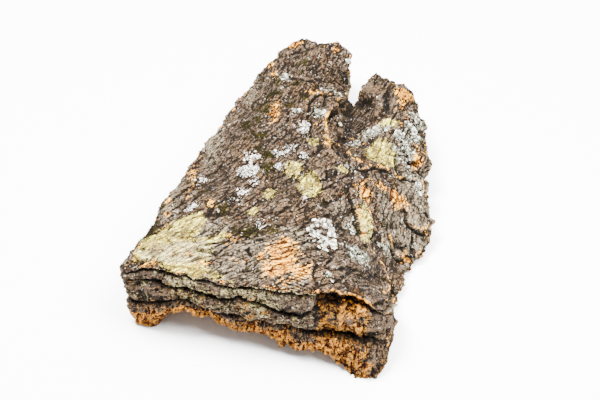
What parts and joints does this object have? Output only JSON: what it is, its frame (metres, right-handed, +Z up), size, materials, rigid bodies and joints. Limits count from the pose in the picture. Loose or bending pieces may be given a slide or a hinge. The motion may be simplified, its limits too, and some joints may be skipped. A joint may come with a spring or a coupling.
{
  "type": "piece of bark",
  "caption": "Bowed slab of cork oak bark with a furrowed, lichen-grown outer face, torn layered edges and a notched far end, lying hollow side down.",
  "frame": {"origin": "on the floor under the middle of the slab's box, with the slab lying on its three low feet", "axes": "+X across the slab, +Y along it from the thick torn near end to the notched far end, +Z up out of the weathered outer face"},
  "size_m": [0.2261, 0.3603, 0.0772],
  "materials": {
    "bark": "rough, weathered grey-brown cork"
  },
  "bodies": {
    "root": {"bark": "bark"}
  },
  "joints": []
}
